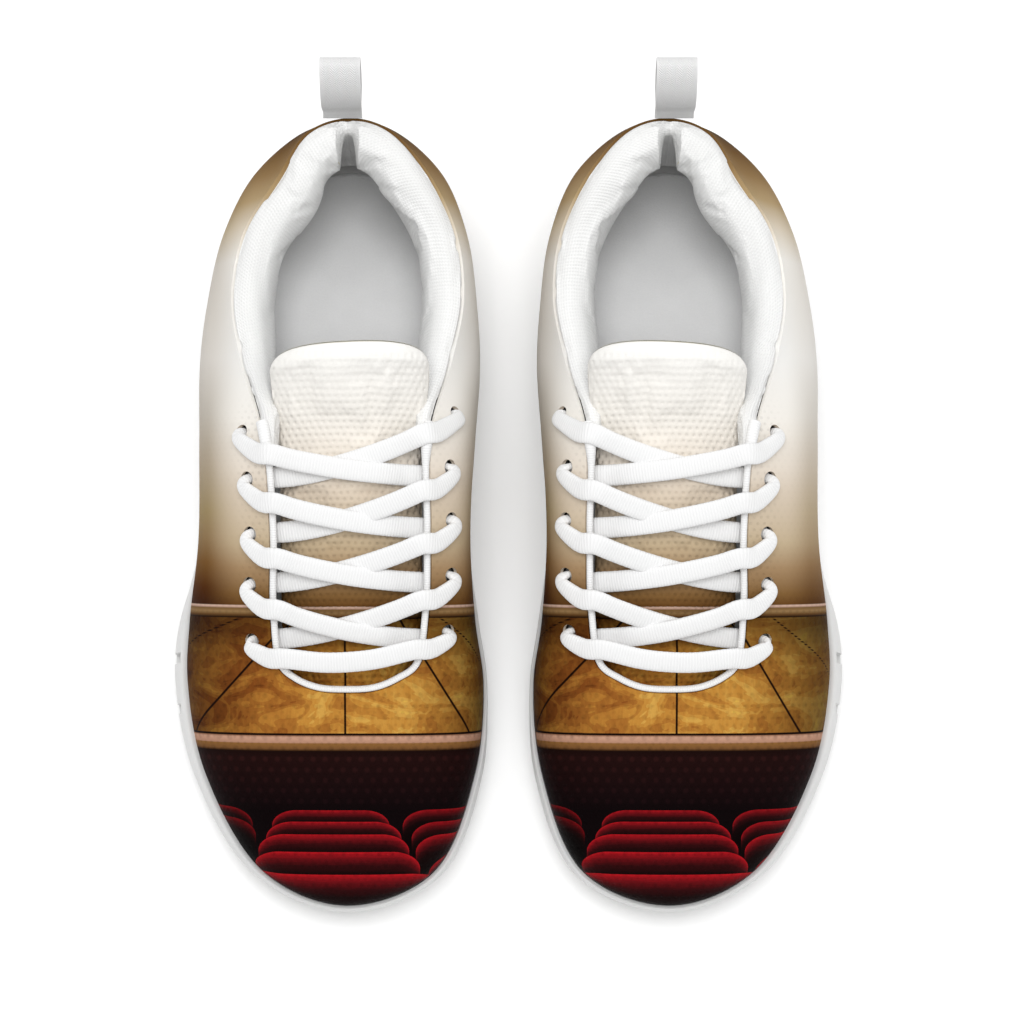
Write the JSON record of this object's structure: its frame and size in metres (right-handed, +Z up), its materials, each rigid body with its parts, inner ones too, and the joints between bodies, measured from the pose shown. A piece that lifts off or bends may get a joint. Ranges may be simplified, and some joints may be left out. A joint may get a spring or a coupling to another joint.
{
  "type": "pair of lace-up sneakers",
  "caption": "Pair of low lace-up sneakers with printed textile uppers, padded knit collars, flat laces, webbing heel pull tabs and pale foam soles.",
  "frame": {"origin": "centre of the pair's bounding box, on the floor", "axes": "+Z up, +Y from toes to heels, +X from the right shoe to the left shoe"},
  "size_m": [0.224, 0.27, 0.1148],
  "materials": {
    "print": "printed engineered mesh, matt",
    "knit": "fine ribbed knit",
    "lining": "brushed textile lining",
    "foam": "open-cell padding foam",
    "webbing": "woven tape",
    "lace": "flat woven lace",
    "board": "stitched fibre board",
    "stay": "thermoformed sheet",
    "sock": "felted grey textile over foam",
    "sole_foam": "moulded foam",
    "rubber": "moulded rubber",
    "aglet": "clear-white sleeve"
  },
  "bodies": {
    "right_shoe": {"right_outsole": "rubber", "right_midsole": "sole_foam", "right_insole_board": "board", "right_sockliner": "sock", "right_printed_upper": "print", "right_toe_puff": "stay", "right_heel_counter": "stay", "right_eyestay_lateral": "stay", "right_eyestay_medial": "stay", "right_vamp_lining": "lining", "right_collar_lateral": "knit", "right_collar_medial": "knit", "right_collar_foam_lateral": "foam", "right_collar_foam_medial": "foam", "right_throat_piping": "webbing", "right_lace": "lace", "right_aglet_lateral": "aglet", "right_aglet_medial": "aglet"},
    "right_tongue": {"right_tongue_face": "print", "right_tongue_foam": "foam", "right_tongue_lining": "lining"},
    "right_pull_tab": {"right_pull_tab": "webbing"},
    "left_shoe": {"left_outsole": "rubber", "left_midsole": "sole_foam", "left_insole_board": "board", "left_sockliner": "sock", "left_printed_upper": "print", "left_toe_puff": "stay", "left_heel_counter": "stay", "left_eyestay_lateral": "stay", "left_eyestay_medial": "stay", "left_vamp_lining": "lining", "left_collar_lateral": "knit", "left_collar_medial": "knit", "left_collar_foam_lateral": "foam", "left_collar_foam_medial": "foam", "left_throat_piping": "webbing", "left_lace": "lace", "left_aglet_lateral": "aglet", "left_aglet_medial": "aglet"},
    "left_tongue": {"left_tongue_face": "print", "left_tongue_foam": "foam", "left_tongue_lining": "lining"},
    "left_pull_tab": {"left_pull_tab": "webbing"}
  },
  "joints": [
    {"name": "left_shoe_lift", "type": "slide", "parent": "right_shoe", "child": "left_shoe", "axis": [0, 0, 1], "range_m": [0, 0.15]},
    {"name": "right_tongue_flex", "type": "hinge", "parent": "right_shoe", "child": "right_tongue", "pos_m": [-0.0511, -0.0653, 0.049], "axis": [1, 0, 0], "range_deg": [-5, 0], "stiffness_Nm_per_rad": 0.6},
    {"name": "left_tongue_flex", "type": "hinge", "parent": "left_shoe", "child": "left_tongue", "pos_m": [0.0511, -0.0653, 0.049], "axis": [1, 0, 0], "range_deg": [-5, 0], "stiffness_Nm_per_rad": 0.6},
    {"name": "right_pull_tab_flex", "type": "hinge", "parent": "right_shoe", "child": "right_pull_tab", "pos_m": [-0.0537, 0.1215, 0.0871], "axis": [1, 0, 0], "range_deg": [-30, 30], "stiffness_Nm_per_rad": 0.01},
    {"name": "left_pull_tab_flex", "type": "hinge", "parent": "left_shoe", "child": "left_pull_tab", "pos_m": [0.0537, 0.1215, 0.0871], "axis": [1, 0, 0], "range_deg": [-30, 30], "stiffness_Nm_per_rad": 0.01}
  ]
}
